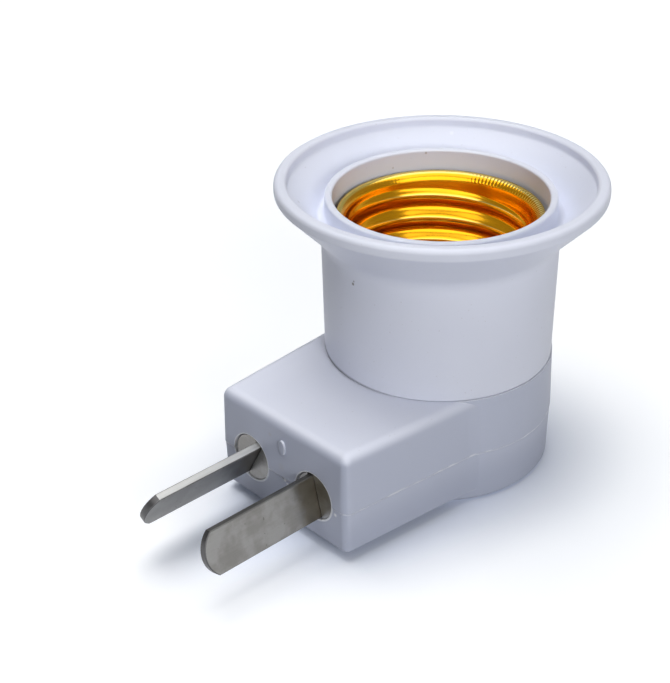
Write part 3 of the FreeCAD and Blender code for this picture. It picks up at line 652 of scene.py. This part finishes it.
# %% A tree that sets a pattern at the ends of a line
def fastener_tree(name, pattern, material, recess, count):
    """Cuts the driver's cross, where there is a recess, and sets the pattern along a line."""
    sizes = {"Recess length": 3.0 * mm, "Recess width": 0.6 * mm, "Recess depth": 0.8 * mm,
             "From X": 0.0, "From Y": 0.0, "From Z": 0.0, "To X": 0.0, "To Y": 0.0, "To Z": 0.0,
             "Head": 1.3 * mm, "Tip": 0.0, "Twist": 0.5}
    recipe, given = geometry_recipe(name, sizes)
    shape = recipe.node("GeometryNodeObjectInfo", {"transform_space": "ORIGINAL"}, {"Object": pattern},
                        out="Geometry")
    shape = recipe.node("GeometryNodeMergeByDistance", inputs={"Geometry": shape, "Distance": 0.001 * mm})
    if recess:
        cutters = []
        for length, width in (("Recess length", "Recess width"), ("Recess width", "Recess length")):
            size = recipe.node("ShaderNodeCombineXYZ", inputs={
                "X": given[length], "Y": given[width], "Z": given["Recess depth"] * 2})
            cutters.append(recipe.node("GeometryNodeMeshCube", inputs={"Size": size}))
        cross = recipe.node("GeometryNodeMeshBoolean", {"operation": "UNION", "solver": "EXACT"})
        for cutter in cutters:
            recipe.tree.links.new(cutter.socket, cross.socket.node.inputs["Mesh 2"])
        down = recipe.node("ShaderNodeCombineXYZ", inputs={"Z": 0 - given["Head"]})
        cross = recipe.node("GeometryNodeTransform", inputs={"Geometry": cross, "Translation": down})
        shape = recipe.node("GeometryNodeMeshBoolean", {"operation": "DIFFERENCE", "solver": "EXACT"}, {
            "Mesh 1": shape, "Mesh 2": cross})
    ends = []
    for end in ("From", "To"):
        ends.append(recipe.node("ShaderNodeCombineXYZ", inputs={
            axis: given[end + " " + axis] for axis in "XYZ"}))
    line = recipe.node("GeometryNodeMeshLine", {"mode": "END_POINTS"}, {
        "Count": count, "Start Location": ends[0], "Offset": ends[1]})
    index = recipe.node("GeometryNodeInputIndex")
    turn = recipe.node("ShaderNodeCombineXYZ", inputs={
        "X": given["Tip"], "Y": 0.0, "Z": given["Twist"] * (index + 1)})
    spread = recipe.node("GeometryNodeInstanceOnPoints", inputs={
        "Points": line, "Instance": shape, "Rotation": turn})
    finish_tree(recipe, spread, material)
    return recipe.tree, sizes


def fasteners(name, corners, first, last, replaced, material, head=0.0, tip=0.0, twist=0.5):
    """Turns a pattern, sets it at both ends of a line and keeps the pair as one mesh."""
    pattern = turned(name + "_pattern", corners, segments=48, exact=False)
    tree, sizes = fastener_tree(name, pattern, material, head > 0, 1 if first == last else 2)
    for end, place in (("From", first), ("To", last)):
        for axis, value in zip("XYZ", place):
            sizes[end + " " + axis] = value * mm
    sizes.update({"Head": head * mm, "Tip": tip, "Twist": twist})
    piece = grown(name, tree, sizes)
    bpy.data.objects.remove(pattern)
    piece.data.set_sharp_from_angle(angle=math.radians(40))
    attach(piece, "housing")
    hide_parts(*replaced)
    return piece


# %% The screws, head down with the seat at height 0
def screw_corners(radius, head_radius, head, length):
    """A domed head, a plain shank and a blunt point, as (radius, height, rounding)."""
    return [(0, -head, 0), (head_radius * 0.55, -head, 0.4), (head_radius * 0.96, -head * 0.55, 0.5),
            (head_radius, 0, 0.12), (radius, 0, 0), (radius, length - 1.2, 0), (0.25, length, 0),
            (0, length, 0)]


zinc = plated("zinc_plating", 0.45, (1, 1, 1), (1, 1, 1), 0.08)
for name, corners, first, last, tip, replaced in (
        ("carrier_screws", screw_corners(1.05, 2.3, 1.3, 7.6), (5.3, 2.6, 14.0), (-5.3, -2.6, 14.0), math.pi,
         ("carrier_screw_right", "carrier_screw_left")),
        ("front_housing_screw", screw_corners(1.2, 2.3, 1.5, 9.0), (0, -22.0, 3.4), (0, -22.0, 3.4), 0.0,
         ("housing_screw_front",)),
        ("rear_housing_screw", screw_corners(1.2, 2.3, 1.5, 7.0), (0, 9.6, 2.4), (0, 9.6, 2.4), 0.0,
         ("housing_screw_rear",))):
    piece = fasteners(name, corners, first, last, replaced, zinc, -corners[0][1], tip)

# %% The rivets, with the seat of the set head at height 0
def rivet_corners(grip):
    """A rivet with a head at each end of what it grips."""
    return [(0, -grip - 0.6, 0), (1.1, -grip - 0.6, 0.35), (1.5, -grip - 0.25, 0.2), (1.5, -grip, 0.05),
            (0.9, -grip, 0), (0.9, 0, 0), (1.5, 0, 0.05), (1.5, 0.25, 0.2), (1.0, 0.6, 0.4), (0, 0.6, 0)]


rivet_brass = brass_finish("rivet_brass", streak=(1, 1, 1))
for name, grip, place, replaced in (("leaf_rivet", 3.1, (0, 6.2, 14.4), "centre_rivet"),
                                    ("left_shell_rivet", 2.5, (-6.35, 8.016, 14.3), "shell_rivet_left"),
                                    ("right_shell_rivet", 3.0, (6.35, -8.016, 14.3), "shell_rivet_right")):
    piece = fasteners(name, rivet_corners(grip), place, place, (replaced,), rivet_brass)

# %% [markdown]
# ## Studio
#
# The object stands on a pale floor that reaches past the picture. A low key lamp at its right, a large
# lamp above and behind it and a small one over its front give the light. Two large cards show only in
# reflections, for the brass and the plating to mirror. To the camera the surround is white, and for
# reflections it is dimmer, so that the brass keeps dark bands between its bright ones. For the camera and
# for reflections the floor is part lit surface, part plain white, so that the background is white without
# more light on the object, and the object's shadow stays on it. Close under the object, where the floor
# sees little of the room, the plain white steps back and the shadow turns deeper and bluer.

# %% The floor
def pale_floor():
    """A lit floor with plain white mixed in for the camera and for reflections."""
    make = Finish("pale_floor")
    away = make.vector("LENGTH", make.place, out="Value")
    path = make.node("ShaderNodeLightPath", out="Is Camera Ray")
    seen = make.sum("MAXIMUM", path, make.sum("MAXIMUM", path.other("Is Glossy Ray"),
                                              path.other("Is Transmission Ray")))
    grain = make.noise(6 * mm, 2)
    openness = make.node("ShaderNodeAmbientOcclusion", inputs={"Distance": 14 * mm}, out="AO")
    pale = make.colours(grain, (0.97, 0.93, 0.85), (1.0, 0.96, 0.88))
    pale = make.colours(openness * openness, (0.74, 0.81, 0.98), pale)
    colour = make.colours(seen, (0.42, 0.43, 0.46), pale)
    lit = make.node("ShaderNodeBsdfDiffuse", inputs={"Color": colour})
    far = make.step(60 * mm, 200 * mm, away)
    tint = make.colours(far, (0.80, 0.87, 1.0), (0.56, 0.56, 0.56))
    # A strength of 1.85 makes both shares come to plain white
    plain = make.node("ShaderNodeEmission", inputs={"Color": tint, "Strength": 1.85})
    share = seen * (0.30 * openness * openness + far * 0.70)
    mixed = make.node("ShaderNodeMixShader", inputs={0: share, 1: lit, 2: plain})
    make.node("ShaderNodeOutputMaterial", inputs={"Surface": mixed})
    return make.material


floor_mesh = bpy.data.meshes.new("studio_floor")
reach = 2.5
floor_mesh.from_pydata([(-reach, -reach, 0), (reach, -reach, 0), (reach, reach, 0), (-reach, reach, 0)], [],
                       [(0, 1, 2, 3)])
floor_piece = bpy.data.objects.new("studio_floor", floor_mesh)
bpy.context.scene.collection.objects.link(floor_piece)
floor_mesh.materials.append(pale_floor())

# %% The lamps and the surround
def soft_lamp(name, azimuth, elevation, distance, width, height, power):
    """A lamp that faces the object. Azimuth 0 is in front of the blades, 90 is at +X."""
    light = bpy.data.lights.new(name, "AREA")
    light.shape = "RECTANGLE"
    light.size, light.size_y = width, height
    light.energy = power
    lamp = bpy.data.objects.new(name, light)
    a, e = math.radians(azimuth), math.radians(elevation)
    way = Vector((math.sin(a) * math.cos(e), -math.cos(a) * math.cos(e), math.sin(e)))
    lamp.location = Vector((0, -0.01, 0.025)) + way * distance
    lamp.rotation_euler = way.to_track_quat("Z", "Y").to_euler()
    lamp.visible_camera = False
    bpy.context.scene.collection.objects.link(lamp)
    return lamp


soft_lamp("key", 66, 20, 0.6, 0.22, 0.22, 1.75).visible_glossy = False
soft_lamp("top", 250, 75, 0.6, 0.40, 0.40, 2.3).visible_glossy = False
soft_lamp("fore", 345, 72, 0.6, 0.30, 0.30, 0.75).visible_glossy = False
soft_lamp("front_card", 47, 29, 0.45, 0.95, 0.45, 2.3).visible_diffuse = False
soft_lamp("top_card", 47, 88, 0.5, 0.7, 0.5, 1.6).visible_diffuse = False

world = bpy.data.worlds.new("surround")
world.use_nodes = True
bpy.context.scene.world = world
surround = Recipe(world.node_tree)
path = surround.node("ShaderNodeLightPath", out="Is Camera Ray")
straight = surround.sum("MAXIMUM", path, path.other("Is Transmission Ray"))
strength = 0.04 + path.other("Is Glossy Ray") * 0.28 + straight * 0.96
glow = surround.node("ShaderNodeBackground", inputs={"Color": (1, 1, 1, 1), "Strength": strength})
surround.node("ShaderNodeOutputWorld", inputs={"Surface": glow})
print("lamps ready")

# %% [markdown]
# ## Camera
#
# The camera stands where the photograph was taken from: ahead of the blades, well to the right and
# thirty degrees up. Its place was worked out from the object's own circles and edges in the picture.

# %% The camera
eye = Vector((125.56, -135.35, 123.97)) * mm
target = Vector((0, -20.14, 25.04)) * mm
back = (eye - target).normalized()
right = Vector((0, 0, 1)).cross(back).normalized()
roll = math.radians(-1.06)
side = right * math.cos(roll) + back.cross(right) * math.sin(roll)
camera_data = bpy.data.cameras.new("camera")
camera_data.lens = 77.59
camera_data.sensor_width = 36.0
camera = bpy.data.objects.new("camera", camera_data)
camera.matrix_world = Matrix.Translation(eye) @ Matrix((side, back.cross(side), back)).transposed().to_4x4()
bpy.context.scene.collection.objects.link(camera)
bpy.context.scene.camera = camera
bpy.context.scene.view_settings.view_transform = "Standard"
print("camera", round((eye - target).length * 1000, 1), "mm away")
